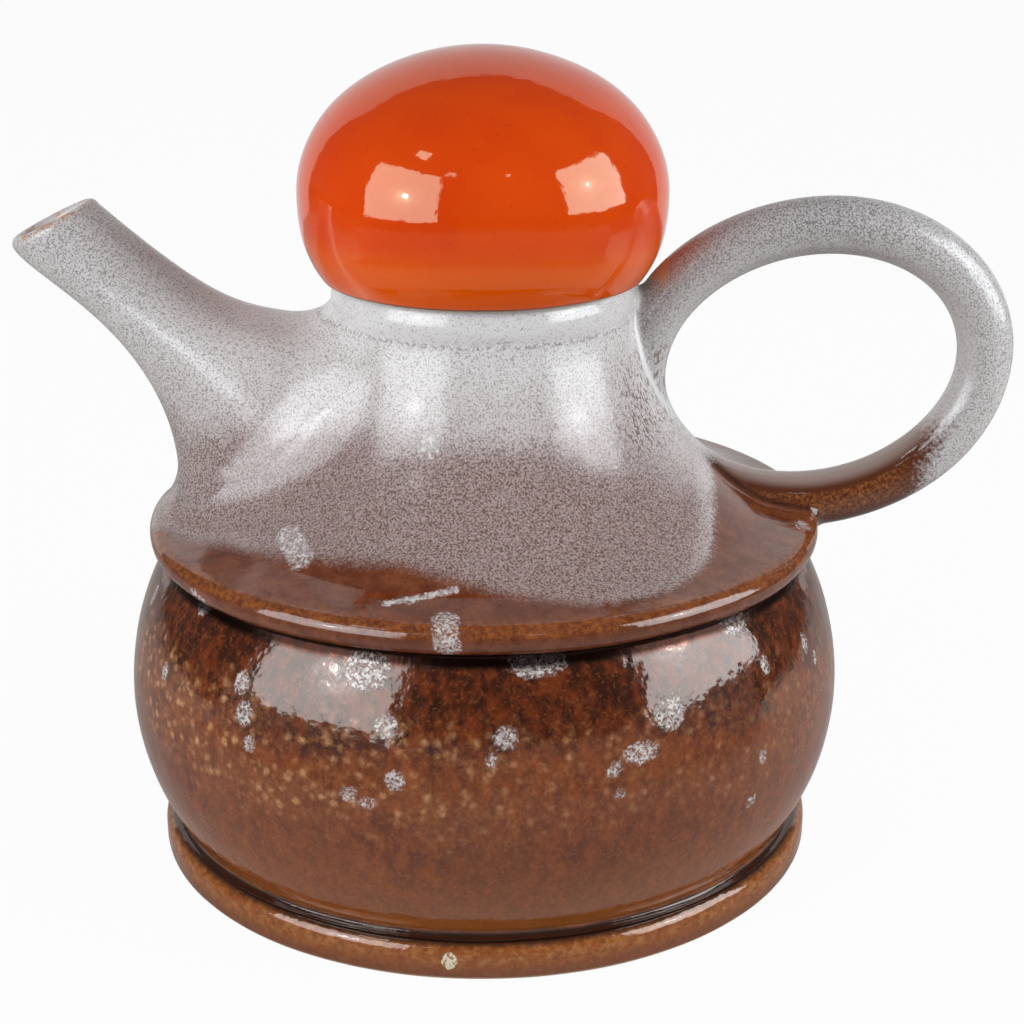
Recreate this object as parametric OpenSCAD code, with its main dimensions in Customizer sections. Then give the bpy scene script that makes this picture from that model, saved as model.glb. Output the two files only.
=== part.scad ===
// Coffee pot with a wide belly, a bell-shaped shoulder, a ring handle and a ball lid.
// Millimetres, +Z up. The origin is the centre of the foot's flat underside.
// The spout points along -X and the handle along +X. Every upright piece is turned round Z.

/* [Foot] */
// Width of the foot ring
foot_width = 149; // [144:1:152]
// Height of the foot ring
foot_height = 8.5; // [7:0.5:10]
// Width of the hollow under the pot, inside the foot ring
foot_hollow = 122; // [116:1:126]
// Height of the hollow under the pot
foot_recess = 4.5; // [3:0.5:5]

/* [Belly] */
// Width of the belly where it is widest
belly_width = 160; // [156:1:166]
// Height of the widest line
belly_mid_z = 38; // [36:0.5:42]
// Width of the belly where it meets the foot ring
belly_low_width = 141; // [138:0.5:142]
// Width of the belly where it meets the collar
belly_top_width = 140; // [138:0.5:142]
// Height of the belly's upper edge
belly_top_z = 71; // [69:0.5:73]
// Thickness of the belly's wall
belly_wall = 4.5; // [3.5:0.5:5.5]

/* [Collar] */
// Width of the collar
collar_width = 149; // [147:1:152]
// Thickness of the collar's round edge
collar_edge = 6.3; // [5:0.1:7]

/* [Shoulder] */
// Width of the shoulder's top, under the neck ring
shoulder_top_width = 65; // [63:0.5:68]
// Height of the shoulder's top above the collar
shoulder_rise = 44.9; // [43:0.1:47]
// Thickness of the shoulder's wall
shoulder_wall = 4.5; // [3.5:0.5:5]

/* [Neck] */
// Height of the neck ring
neck_height = 7.4; // [6:0.1:8]
// Radius of the neck ring's rounded side
neck_bulge = 7.5; // [6.5:0.1:9]
// Width of the mouth that the lid drops into
neck_bore = 57; // [55:0.5:58]

/* [Spout] */
// Reach of the middle of the spout's mouth from the pot's axis
mouth_reach = 91.6; // [86:0.1:98]
// Height of the middle of the mouth above the collar
mouth_rise = 63.3; // [59:0.1:67]
// Length of the mouth's opening, edge to edge
mouth_length = 20.5; // [18:0.1:24]
// Width of the spout at the mouth
mouth_width = 19.6; // [17:0.1:23]
// Slope of the mouth's edge, falling towards the tip
mouth_tilt = 26; // [20:1:32]
// Width of the spout at its root
root_width = 42; // [36:1:46]
// Thickness of the spout's wall
spout_wall = 3.4; // [2.8:0.1:4]
// Width of the hole through the shoulder into the spout
spout_hole = 24; // [16:1:26]

/* [Handle] */
// Thickness of the handle
handle_thick = 12.3; // [10:0.1:13.5]
// Length of the ring's middle line
handle_length = 77; // [74:0.5:82]
// Height of the ring's middle line
handle_height = 61.8; // [58:0.1:66]
// Reach of the middle line's inner end from the pot's axis
handle_root_reach = 33.6; // [33:0.1:36]
// Height of the ring's centre above the collar
handle_rise = 31.8; // [30:0.1:35]
// Tilt of the ring, outer end up
handle_tilt = 9.7; // [7:0.1:13]

/* [Lid] */
// Width of the lid
lid_width = 79.5; // [77:0.5:82]
// Width of the lid's flat underside
lid_low_width = 69; // [67:0.5:72]
// Height of the lid's widest line above the neck
lid_mid_rise = 18; // [16:0.1:20]
// Height of the dome above the widest line
lid_dome_rise = 30.7; // [28:0.1:34]
// Thickness of the lid's wall
lid_wall = 4.5; // [3.5:0.5:5]
// Thickness of the ring under the lid
lid_seat_thick = 4; // [3:0.5:5]
// Depth of the flange that drops into the neck
flange_depth = 10; // [6:0.5:14]
// Thickness of the flange
flange_wall = 3.5; // [2.5:0.5:4.5]
// Gap all round between the flange and the neck
flange_gap = 0.8; // [0.4:0.1:1.2]

/* [Hidden] */
$fn = 96;

brown_glaze = "#6b3a1e";
dark_glaze = "#3b2016";
white_glaze = "#c9bfc0";
orange_glaze = "#d9480c";
bare_clay = "#d9c7a8";

// Radii of the foot's lower and upper outer edges
foot_edge_low = 1.5;
foot_edge_high = 4;
// How far the neck ring's side leans in at its lower edge
neck_low_lean = 24;
collar_round = collar_edge / 2;
collar_top_z = belly_top_z + collar_edge;
shoulder_top_z = collar_top_z + shoulder_rise;
neck_top_z = shoulder_top_z + neck_height;
lid_mid_z = neck_top_z + lid_mid_rise;
flange_radius = neck_bore / 2 - flange_gap;

// How far a cutting shape runs past the piece that it cuts
past = 1;
// The widest angle between two points of an arc
arc_step = 5;

// ---- Outlines made of tangent arcs ----
// An outline is walked upwards. "Lean" is the angle of the outward normal above the horizontal.
// An arc is [radius, lean at its start, lean at its end, centre]. A negative radius is hollow.

function along(lean) = [cos(lean), sin(lean)];
function sum(values, i = 0) = i < len(values) ? values[i] + sum(values, i + 1) : 0;

// Each step is [share of the first radius, share of the second radius, lean at its end].
// The two radii are the ones that carry the outline from one point to the other.
function turn(from_lean, steps, i) = along(steps[i][2]) - along(i == 0 ? from_lean : steps[i - 1][2]);
function reach(from_lean, steps, which, axis) =
    sum([for (i = [0 : len(steps) - 1]) steps[i][which] * turn(from_lean, steps, i)[axis]]);
function two_radii(gap, from_lean, steps) =
    let (
        a = reach(from_lean, steps, 0, 0),
        b = reach(from_lean, steps, 1, 0),
        c = reach(from_lean, steps, 0, 1),
        d = reach(from_lean, steps, 1, 1),
        size = a * d - b * c
    )
    [(gap[0] * d - b * gap[1]) / size, (a * gap[1] - gap[0] * c) / size];
function walk(point, lean, steps, radii, i = 0) =
    i == len(steps) ? [] :
    let (
        radius = steps[i][0] * radii[0] + steps[i][1] * radii[1],
        centre = point - radius * along(lean),
        end_lean = steps[i][2]
    )
    concat([[radius, lean, end_lean, centre]],
        walk(centre + radius * along(end_lean), end_lean, steps, radii, i + 1));
function outline(start, end, lean, steps) =
    walk(start, lean, steps, two_radii(end - start, lean, steps));

// The one arc from a point to the widest point beside it, and its lean at the point
function bulge_radius(point, widest) =
    let (gap = widest - point) (gap[0] * gap[0] + gap[1] * gap[1]) / (2 * gap[0]);
function bulge_lean(point, widest) =
    asin((point[1] - widest[1]) / bulge_radius(point, widest));
function bulge(low, widest, high) =
    let (low_radius = bulge_radius(low, widest), high_radius = bulge_radius(high, widest))
    [[low_radius, bulge_lean(low, widest), 0, widest - [low_radius, 0]],
        [high_radius, 0, bulge_lean(high, widest), widest - [high_radius, 0]]];

function arc_point(arc, lean, inset) = arc[3] + (arc[0] - inset) * along(lean);
function arc_points(arc, inset) =
    let (steps = ceil(abs(arc[2] - arc[1]) / arc_step))
    [for (i = [1 : steps]) arc_point(arc, arc[1] + (arc[2] - arc[1]) * i / steps, inset)];

// An outline's points from bottom to top, set in by a wall and carried straight on to a height
function outline_points(arcs, inset = 0, low = undef, high = undef) =
    let (
        start = arc_point(arcs[0], arcs[0][1], inset),
        rest = [for (arc = arcs) each arc_points(arc, inset)],
        end = rest[len(rest) - 1]
    )
    concat(low == undef ? [] : [[start[0], low]], [start], rest, high == undef ? [] : [[end[0], high]]);
function first_point(arcs, inset) = outline_points(arcs, inset)[0];
function last_point(arcs, inset) = arc_point(arcs[len(arcs) - 1], arcs[len(arcs) - 1][2], inset);

module band(width, low, high) {
    translate([0, low]) square([width, high - low]);
}

// The half section from the axis out to a line of points
module filled(points) {
    top = points[len(points) - 1];
    polygon(concat([[0, points[0][1]]], points, top[0] > past / 100 ? [[0, top[1]]] : []));
}

belly_outline = bulge([belly_low_width / 2, foot_height], [belly_width / 2, belly_mid_z],
    [belly_top_width / 2, belly_top_z]);
shoulder_outline = outline([collar_width / 2 - collar_round, collar_top_z],
    [shoulder_top_width / 2, shoulder_top_z],
    83, [[0, 5.4, 73], [0, 1, 60], [1, 0, 40], [0.8, 0, 5]]);
// The lid's lower side follows the slope from its underside out to its widest line
lid_low_slope = atan((lid_width - lid_low_width) / 2 / lid_mid_rise);
lid_low_outline = outline([lid_low_width / 2, neck_top_z], [lid_width / 2, lid_mid_z],
    -2.34 * lid_low_slope, [[1, 0, -0.55 * lid_low_slope], [0, 1, 0]]);
lid_high_outline = outline([lid_width / 2, lid_mid_z], [0, lid_mid_z + lid_dome_rise],
    0, [[1, 0, 25], [1.17, 0, 52], [0, 0.77, 66], [0, 1, 90]]);
lid_outline = concat(lid_low_outline, lid_high_outline);

// Inside of the belly where its wall starts and ends; the base and the shoulder are cut to it
base_top = first_point(belly_outline, belly_wall);
seam_radius = last_point(belly_outline, belly_wall)[0];

// ---- Sections of the turned pieces ----
module collar_section() {
    edge_radius = collar_width / 2 - collar_round;
    translate([edge_radius, belly_top_z + collar_round]) circle(collar_round);
    translate([seam_radius, belly_top_z]) square([edge_radius - seam_radius, collar_edge]);
    difference() {
        filled(outline_points(shoulder_outline));
        band(seam_radius, belly_top_z, shoulder_top_z + past);
    }
}

module shoulder_section() {
    intersection() {
        difference() {
            filled(outline_points(shoulder_outline, 0, belly_top_z));
            filled(outline_points(shoulder_outline, shoulder_wall, belly_top_z - past, shoulder_top_z + past));
        }
        band(seam_radius, belly_top_z, shoulder_top_z);
    }
}

module neck_section() {
    // The ring's side bulges out below the middle and closes in under the lid
    bulge_centre = [shoulder_top_width / 2, shoulder_top_z] - neck_bulge * along(-neck_low_lean);
    difference() {
        intersection() {
            translate(bulge_centre) circle(neck_bulge);
            band(bulge_centre[0] + neck_bulge + past, shoulder_top_z, neck_top_z);
        }
        band(neck_bore / 2, shoulder_top_z - past, neck_top_z + past);
    }
}

// The whole upper pot as one filled shape, which the spout and the handle are fitted to
module upper_pot() {
    rotate_extrude() {
        collar_section();
        neck_section();
        filled(outline_points(shoulder_outline, 0, belly_top_z));
        band(neck_bore / 2 + past, belly_top_z, neck_top_z);
        band(collar_width / 2, belly_mid_z, belly_top_z);
    }
}

// ---- Pot ----
module foot_ring() {
    outer = foot_width / 2;
    inner = foot_hollow / 2;
    color(brown_glaze) rotate_extrude() {
        translate([outer - foot_edge_high, foot_height - foot_edge_high]) circle(foot_edge_high);
        translate([outer - foot_edge_low, foot_edge_low]) circle(foot_edge_low);
        translate([inner, 0]) square([outer - foot_edge_high - inner, foot_height]);
        translate([inner, 0]) square([outer - foot_edge_low - inner, foot_edge_low]);
        translate([inner, foot_edge_low])
            square([outer - inner, foot_height - foot_edge_low - foot_edge_high]);
    }
}

module base() {
    color(bare_clay) {
        translate([0, 0, foot_recess]) cylinder(r = foot_hollow / 2, h = foot_height - foot_recess);
        translate([0, 0, foot_height]) cylinder(r = base_top[0], h = base_top[1] - foot_height);
    }
}

module belly() {
    color(brown_glaze) rotate_extrude() difference() {
        filled(outline_points(belly_outline));
        filled(outline_points(belly_outline, belly_wall, foot_height - past, belly_top_z + past));
    }
}

module collar() {
    color(dark_glaze) rotate_extrude() collar_section();
}

module shoulder() {
    color(white_glaze) difference() {
        rotate_extrude() shoulder_section();
        spout_hole_bore();
    }
}

module neck_ring() {
    color(white_glaze) rotate_extrude() neck_section();
}

// A closed skin over a row of rings, each a loop of as many points.
// A joined row runs round to its first ring again; any other row has flat ends.
module skin(rings, joined = false) {
    n = len(rings[0]);
    rows = len(rings);
    sides = [for (row = [0 : rows - (joined ? 1 : 2)], i = [0 : n - 1])
        let (a = row * n, b = (row + 1) % rows * n, j = (i + 1) % n)
        each [[a + i, b + i, a + j], [a + j, b + i, b + j]]];
    start_cap = [for (i = [0 : n - 1]) i];
    end_cap = [for (i = [n - 1 : -1 : 0]) (rows - 1) * n + i];
    polyhedron([for (ring = rings) each ring], concat(sides, joined ? [] : [start_cap, end_cap]));
}

// ---- Spout ----
// Its upper and lower edges are curves in the XZ plane. Each section is the ellipse between them.
spout_steps = 12;
spout_sides = 24;
lip_round = spout_wall / 2;

function curve(p, t) =
    pow(1 - t, 3) * p[0] + 3 * pow(1 - t, 2) * t * p[1] + 3 * (1 - t) * t * t * p[2] + t * t * t * p[3];

mouth_centre = [-mouth_reach, collar_top_z + mouth_rise];
mouth_slope = [cos(mouth_tilt), sin(mouth_tilt)];
mouth_out = [-sin(mouth_tilt), cos(mouth_tilt)];
mouth_high = mouth_centre + mouth_slope * mouth_length / 2;
mouth_low = mouth_centre - mouth_slope * mouth_length / 2;
// The upper edge leaves the shoulder level, and the lower edge rises straight up off the collar
root_depth = 14;
root_drop = 4;
root_setback = 6;
root_high = [-shoulder_top_width / 2 + root_depth, shoulder_top_z - root_drop];
root_low = [-collar_width / 2 + root_setback, collar_top_z];
upper_edge = [root_high, root_high + [-33.2, 5.5], mouth_high + [33.6, -30.2], mouth_high];
lower_edge = [root_low, root_low + [4.7, 38.2], mouth_low + [3.6, -7.4], mouth_low];
// The foot of the spout lies flat inside the shoulder, where nothing of it shows
buried_high = [root_high[0], collar_top_z + 12];
buried_low = root_low + [2.5, 0];

// The half width stays slim near the mouth and swells towards the root
function half_width(t) =
    let (swell = (1 - t) * (1 - t) * (1 + 0.5 * t))
    mouth_width / 2 + (root_width - mouth_width) / 2 * swell;

// A section is [upper point, lower point, half width]
function section_at(t) = [curve(upper_edge, t), curve(lower_edge, t), half_width(t)];
function shrunk(section, by) =
    let (unit = (section[0] - section[1]) / norm(section[0] - section[1]))
    [section[0] - unit * by, section[1] + unit * by, section[2] - by];
function shifted(section, by) =
    [section[0] + mouth_out * by, section[1] + mouth_out * by, section[2]];
function ring(section) =
    let (
        middle = (section[0] + section[1]) / 2,
        half = (section[0] - section[1]) / 2
    )
    [for (i = [0 : spout_sides - 1])
        let (angle = i * 360 / spout_sides, p = middle + half * cos(angle))
        [p[0], section[2] * sin(angle), p[1]]];

spout_sections = concat([[buried_high, buried_low, root_width / 2]],
    [for (i = [0 : spout_steps]) section_at(i / spout_steps)]);
mouth_section = section_at(1);

module spout_outside() {
    lip = [for (angle = [30, 60, 90])
        shifted(shrunk(mouth_section, lip_round * (1 - cos(angle))), lip_round * sin(angle))];
    skin([for (section = concat(spout_sections, lip)) ring(section)]);
}

module spout_channel() {
    beyond = shifted(mouth_section, lip_round + past);
    skin([for (section = concat(spout_sections, [beyond])) ring(shrunk(section, spout_wall))]);
}

module spout() {
    color(white_glaze) difference() {
        spout_outside();
        spout_channel();
        upper_pot();
    }
}

// The hole behind the spout slants out and down through the shoulder's wall
spout_hole_tilt = 20;
spout_hole_centre = [-shoulder_top_width / 2 - 6, 0, collar_top_z + 24];

module spout_hole_bore() {
    translate(spout_hole_centre)
        rotate([0, -90 + spout_hole_tilt, 0])
            cylinder(d = spout_hole, h = shoulder_top_width / 2, center = true);
}

// ---- Handle ----
// An oval ring of round section. The shoulder takes most of its inner end.
handle_steps = 48;
handle_sides = 20;
handle_centre = [handle_root_reach + handle_length / 2, 0, collar_top_z + handle_rise];

function handle_ring(angle) =
    let (
        half = [handle_length / 2, handle_height / 2],
        middle = [half[0] * cos(angle), half[1] * sin(angle)],
        outward = [half[1] * cos(angle), half[0] * sin(angle)],
        unit = outward / norm(outward)
    )
    [for (i = [0 : handle_sides - 1])
        let (turn = i * 360 / handle_sides, p = middle + unit * handle_thick / 2 * cos(turn))
        [p[0], handle_thick / 2 * sin(turn), p[1]]];

module handle() {
    color(white_glaze) difference() {
        translate(handle_centre) rotate([0, -handle_tilt, 0])
            skin([for (i = [0 : handle_steps - 1]) handle_ring(i * 360 / handle_steps)], joined = true);
        upper_pot();
    }
}

// ---- Lid ----
module lid_ball() {
    color(orange_glaze) rotate_extrude() difference() {
        filled(outline_points(lid_outline));
        filled(outline_points(lid_outline, lid_wall, neck_top_z - past));
    }
}

module lid_seat_ring() {
    color(bare_clay) rotate_extrude() difference() {
        intersection() {
            filled(outline_points(lid_outline, lid_wall, neck_top_z));
            band(lid_width, neck_top_z, neck_top_z + lid_seat_thick);
        }
        band(flange_radius - flange_wall, neck_top_z - past, lid_mid_z);
    }
}

module lid_flange() {
    color(bare_clay) rotate_extrude() difference() {
        band(flange_radius, neck_top_z - flange_depth, neck_top_z);
        band(flange_radius - flange_wall, neck_top_z - flange_depth - past, neck_top_z + past);
    }
}

foot_ring();
base();
belly();
collar();
shoulder();
neck_ring();
spout();
handle();
lid_ball();
lid_seat_ring();
lid_flange();
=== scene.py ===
"""Coffee pot: two loose fired pieces, the pot and its ball lid, with brown, speckled white and orange glazes.

Lengths inside the shape functions are millimetres. The finished meshes are metres, in the part's own frame.
"""
from functools import partial
from math import acos, asin, atan, ceil, cos, degrees, pi, radians, sin, tan

import bpy
import numpy as np
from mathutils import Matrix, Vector


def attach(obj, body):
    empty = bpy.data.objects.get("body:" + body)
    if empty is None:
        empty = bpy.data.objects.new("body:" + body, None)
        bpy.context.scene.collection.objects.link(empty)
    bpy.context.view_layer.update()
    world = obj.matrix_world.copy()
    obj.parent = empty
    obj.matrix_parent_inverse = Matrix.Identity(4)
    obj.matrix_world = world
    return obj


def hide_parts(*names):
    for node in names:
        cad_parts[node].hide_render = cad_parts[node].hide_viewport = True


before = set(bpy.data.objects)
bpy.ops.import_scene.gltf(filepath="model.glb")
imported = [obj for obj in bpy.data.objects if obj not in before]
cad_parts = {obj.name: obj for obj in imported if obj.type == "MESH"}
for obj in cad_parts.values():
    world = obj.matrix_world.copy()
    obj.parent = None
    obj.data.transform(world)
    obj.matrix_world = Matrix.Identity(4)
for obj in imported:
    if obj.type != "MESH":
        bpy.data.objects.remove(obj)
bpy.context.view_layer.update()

MM = 0.001
TINY = 1e-6
WHITE = (1, 1, 1, 1)

# ---- Sizes, as in the part's source ----
FOOT_WIDTH, FOOT_HEIGHT, FOOT_HOLLOW = 149, 8.5, 122
FOOT_EDGE_LOW, FOOT_EDGE_HIGH = 1.5, 4
BELLY_WIDTH, BELLY_MID_Z, BELLY_LOW_WIDTH, BELLY_TOP_WIDTH, BELLY_TOP_Z = 160, 38, 141, 140, 71
WALL = 4.5
COLLAR_WIDTH, COLLAR_EDGE = 149, 6.3
COLLAR_ROUND = COLLAR_EDGE / 2
COLLAR_TOP_Z = BELLY_TOP_Z + COLLAR_EDGE
SHOULDER_TOP_WIDTH = 65
SHOULDER_TOP_Z = COLLAR_TOP_Z + 44.9
NECK_TOP_Z = SHOULDER_TOP_Z + 7.4
NECK_BULGE, NECK_LEAN, NECK_BORE = 7.5, 24, 57
MOUTH_CENTRE = np.array([-91.6, COLLAR_TOP_Z + 63.3])
MOUTH_LENGTH, MOUTH_WIDTH, MOUTH_TILT = 20.5, 19.6, 26
ROOT_WIDTH, SPOUT_WALL, SPOUT_HOLE, SPOUT_HOLE_TILT = 42, 3.4, 24, 20
SPOUT_HOLE_OUT, SPOUT_HOLE_RISE = 6, 24
ROOT_HIGH_IN, ROOT_HIGH_DROP, ROOT_LOW_IN = 14, 4, 6
HANDLE_THICK, HANDLE_LENGTH, HANDLE_HEIGHT, HANDLE_TILT = 12.3, 77, 61.8, 9.7
HANDLE_CENTRE = np.array([33.6 + HANDLE_LENGTH / 2, COLLAR_TOP_Z + 31.8])
LID_WIDTH, LID_LOW_WIDTH = 79.5, 69
LID_MID_Z = NECK_TOP_Z + 18
LID_DOME_RISE, LID_SEAT_THICK = 30.7, 4
FLANGE_PLAY, FLANGE_WALL, FLANGE_DEPTH = 0.8, 3.5, 10
FLANGE_RADIUS = NECK_BORE / 2 - FLANGE_PLAY


# ---- Outlines made of tangent arcs, walked upwards ----
def along(lean):
    """The direction that leans so many degrees above the outward horizontal."""
    return np.array([cos(radians(lean)), sin(radians(lean))])


def arc(centre, radius, lean, end_lean, step=2.5):
    """Points round a centre from one lean to another, so many degrees apart at most."""
    count = max(2, ceil(abs(end_lean - lean) / step))
    return [np.array(centre) + radius * along(lean + (end_lean - lean) * i / count) for i in range(count + 1)]


def outline(start, end, lean, steps, inset=0):
    """Arcs from start to end. A step is [share of the first radius, share of the second, lean at its end]."""
    leans = [lean] + [step[2] for step in steps]
    turns = [along(b) - along(a) for a, b in zip(leans, leans[1:])]
    shares = np.array([sum(step[i] * turn for step, turn in zip(steps, turns)) for i in (0, 1)]).T
    radii = np.linalg.solve(shares, np.subtract(end, start))
    point, line = np.array(start, float), []
    for (first, second, _), a, b in zip(steps, leans, leans[1:]):
        radius = first * radii[0] + second * radii[1]
        centre = point - radius * along(a)
        line += arc(centre, radius - inset, a, b)[1 if line else 0:]
        point = centre + radius * along(b)
    return line


def bulge(low, widest, high, inset=0):
    """Two arcs that meet upright at the widest point."""
    line = []
    for point, order in ((low, 1), (high, -1)):
        gap = np.subtract(widest, point)
        radius = gap @ gap / (2 * gap[0])
        lean = degrees(asin((point[1] - widest[1]) / radius))
        line += arc([widest[0] - radius, widest[1]], radius - inset, *((lean, 0)[::order]))
    return line


NEARLY_STRAIGHT = 150


def rounded(points, radius, closed=True):
    """The line with its sharp corners rounded off."""
    points = [np.array(p, float) for p in points]
    kept = [p for i, p in enumerate(points) if np.linalg.norm(p - points[i - 1]) > TINY]
    line = []
    for i, corner in enumerate(kept):
        before, after = kept[i - 1] - corner, kept[(i + 1) % len(kept)] - corner
        a, b = np.linalg.norm(before), np.linalg.norm(after)
        turn = degrees(acos(np.clip(before @ after / a / b, -1, 1)))
        if turn > NEARLY_STRAIGHT or not closed and i in (0, len(kept) - 1):
            line.append(corner)
            continue
        cut = min(radius / tan(radians(turn / 2)), 0.45 * a, 0.45 * b)
        p, q = corner + before / a * cut, corner + after / b * cut
        line += [(1 - t) ** 2 * p + 2 * t * (1 - t) * corner + t * t * q for t in np.linspace(0, 1, 5)]
    return line


def divided(points, longest):
    """The line with its long straight runs divided."""
    points = [np.array(p, float) for p in points]
    line = points[:1]
    for p in points[1:]:
        count = max(1, ceil(np.linalg.norm(p - line[-1]) / longest))
        start = line[-1]
        line += [start + (p - start) * (i + 1) / count for i in range(count)]
    return line


def shoulder_line(inset=0):
    """The shoulder's outline, from the collar up to the neck ring."""
    return outline([COLLAR_WIDTH / 2 - COLLAR_ROUND, COLLAR_TOP_Z], [SHOULDER_TOP_WIDTH / 2, SHOULDER_TOP_Z],
                   83, [[0, 5.4, 73], [0, 1, 60], [1, 0, 40], [0.8, 0, 5]], inset)


def belly_line(inset=0):
    """The belly's outline, from the foot up to the collar."""
    return bulge([BELLY_LOW_WIDTH / 2, FOOT_HEIGHT], [BELLY_WIDTH / 2, BELLY_MID_Z],
                 [BELLY_TOP_WIDTH / 2, BELLY_TOP_Z], inset)


LID_SLOPE = degrees(atan((LID_WIDTH - LID_LOW_WIDTH) / 2 / (LID_MID_Z - NECK_TOP_Z)))


def lid_line(inset=0):
    """The lid's outline, from its seat up to its top."""
    low = outline([LID_LOW_WIDTH / 2, NECK_TOP_Z], [LID_WIDTH / 2, LID_MID_Z],
                  -2.34 * LID_SLOPE, [[1, 0, -0.55 * LID_SLOPE], [0, 1, 0]], inset)
    high = outline([LID_WIDTH / 2, LID_MID_Z], [0, LID_MID_Z + LID_DOME_RISE],
                   0, [[1, 0, 25], [1.17, 0, 52], [0, 0.77, 66], [0, 1, 90]], inset)
    return low + high[1:]


# ---- Nodes and objects ----
class Value:
    """An output of a node that can be used in sums. A sum adds its Math nodes."""

    def __init__(self, nodes, socket):
        self.nodes, self.socket = nodes, socket

    def __add__(self, other):
        return self.nodes.maths("ADD", self, other)

    def __sub__(self, other):
        return self.nodes.maths("SUBTRACT", self, other)

    def __rsub__(self, other):
        return self.nodes.maths("SUBTRACT", other, self)

    def __mul__(self, other):
        return self.nodes.maths("MULTIPLY", self, other)

    __radd__ = __add__
    __rmul__ = __mul__

    def clamped(self):
        return self.nodes.maths("ADD", self, 0.0, clamp=True)

    def between(self, low, high):
        """0 below low, 1 above high and a soft step between."""
        return self.nodes.node("ShaderNodeMapRange", {"interpolation_type": "SMOOTHSTEP"},
                               {"Value": self, "From Min": low, "From Max": high})

    def below(self, low, high):
        """1 below low, 0 above high and a soft step between."""
        return 1 - self.between(low, high)

    def zone(self, start, full, fading, end):
        """1 from full to fading, and nothing before start or past end."""
        return self.between(start, full) * self.below(fading, end)


class Nodes:
    """A node tree."""

    def __init__(self, tree):
        self.tree = tree
        tree.nodes.clear()

    def node(self, kind, settings=(), sockets=(), out=0):
        """An output of a new node, or all of them. Sockets are given a value or are linked to one."""
        made = self.tree.nodes.new(kind)
        for key, value in dict(settings).items():
            setattr(made, key, value)
        for key, value in dict(sockets).items():
            if isinstance(value, Value):
                self.tree.links.new(value.socket, made.inputs[key])
            else:
                made.inputs[key].default_value = value
        return [Value(self, one) for one in made.outputs] if out is None else Value(self, made.outputs[out])

    def maths(self, operation, *values, clamp=False):
        return self.node("ShaderNodeMath", {"operation": operation, "use_clamp": clamp}, enumerate(values))


def placed(name, data):
    """A new object in the scene."""
    made = bpy.data.objects.new(name, data)
    bpy.context.scene.collection.objects.link(made)
    return made


# ---- Turned pieces ----
def turning_tree():
    """Turns a line of points, radius along X and height along Z, into a skin with a slight wobble."""
    tree = bpy.data.node_groups.new("turned piece", "GeometryNodeTree")
    for name, kind in (("Section", "Geometry"), ("Sides", "Int"), ("Wobble depth", "Float"),
                       ("Wobble size", "Float"), ("Seed", "Float"), ("Finish", "Material")):
        tree.interface.new_socket(name, in_out="INPUT", socket_type="NodeSocket" + kind)
    tree.interface.new_socket("Geometry", in_out="OUTPUT", socket_type="NodeSocketGeometry")
    nodes = Nodes(tree)
    node, maths = nodes.node, nodes.maths
    section, sides, wobble, size, seed, finish = node("NodeGroupInput", out=None)[:6]
    points = node("GeometryNodeAttributeDomainSize", {"component": "MESH"},
                  {"Geometry": section}, "Point Count")
    here = node("GeometryNodeInputPosition")
    sheet = node("GeometryNodeMeshGrid", (), {
        "Size X": 1.0, "Size Y": 1.0, "Vertices X": sides + 1.0, "Vertices Y": points}, "Mesh")
    across, along_section, _ = node("ShaderNodeSeparateXYZ", (), {0: here}, None)
    turn = (across + 0.5) * (2 * pi)
    row = maths("ROUND", (along_section + 0.5) * (points - 1.0))
    found = node("GeometryNodeSampleIndex", {"data_type": "FLOAT_VECTOR", "domain": "POINT", "clamp": True},
                 {"Geometry": section, "Value": here, "Index": row}, "Value")
    radius, _, height = node("ShaderNodeSeparateXYZ", (), {0: found}, None)
    spun = node("ShaderNodeCombineXYZ", (), {
        "X": radius * maths("COSINE", turn), "Y": radius * maths("SINE", turn), "Z": height})
    skin = node("GeometryNodeSetPosition", (), {"Geometry": sheet, "Position": spun})
    skin = node("GeometryNodeMergeByDistance", (), {"Geometry": skin, "Distance": TINY})
    wave = node("ShaderNodeTexNoise", {"noise_dimensions": "4D"}, {
        "Vector": here, "W": seed, "Scale": maths("DIVIDE", 1.0, size), "Detail": 1.0})
    out = node("ShaderNodeVectorMath", {"operation": "SCALE"},
               {0: node("GeometryNodeInputNormal"), "Scale": (wave - 0.5) * wobble})
    skin = node("GeometryNodeSetPosition", (), {"Geometry": skin, "Offset": out})
    skin = node("GeometryNodeSetShadeSmooth", (), {"Geometry": skin})
    skin = node("GeometryNodeSetMaterial", (), {"Geometry": skin, "Material": finish})
    node("NodeGroupOutput", (), {"Geometry": skin}, None)
    return tree


def outward(mesh):
    """Turns the mesh the right way out."""
    mesh.calc_loop_triangles()
    at = np.empty(len(mesh.vertices) * 3)
    mesh.vertices.foreach_get("co", at)
    corners = np.empty(len(mesh.loop_triangles) * 3, np.int32)
    mesh.loop_triangles.foreach_get("vertices", corners)
    a, b, c = at.reshape(-1, 3)[corners.reshape(-1, 3)].transpose(1, 0, 2)
    if np.einsum("ij,ij->", a, np.cross(b, c)) < 0:
        mesh.flip_normals()


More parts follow.
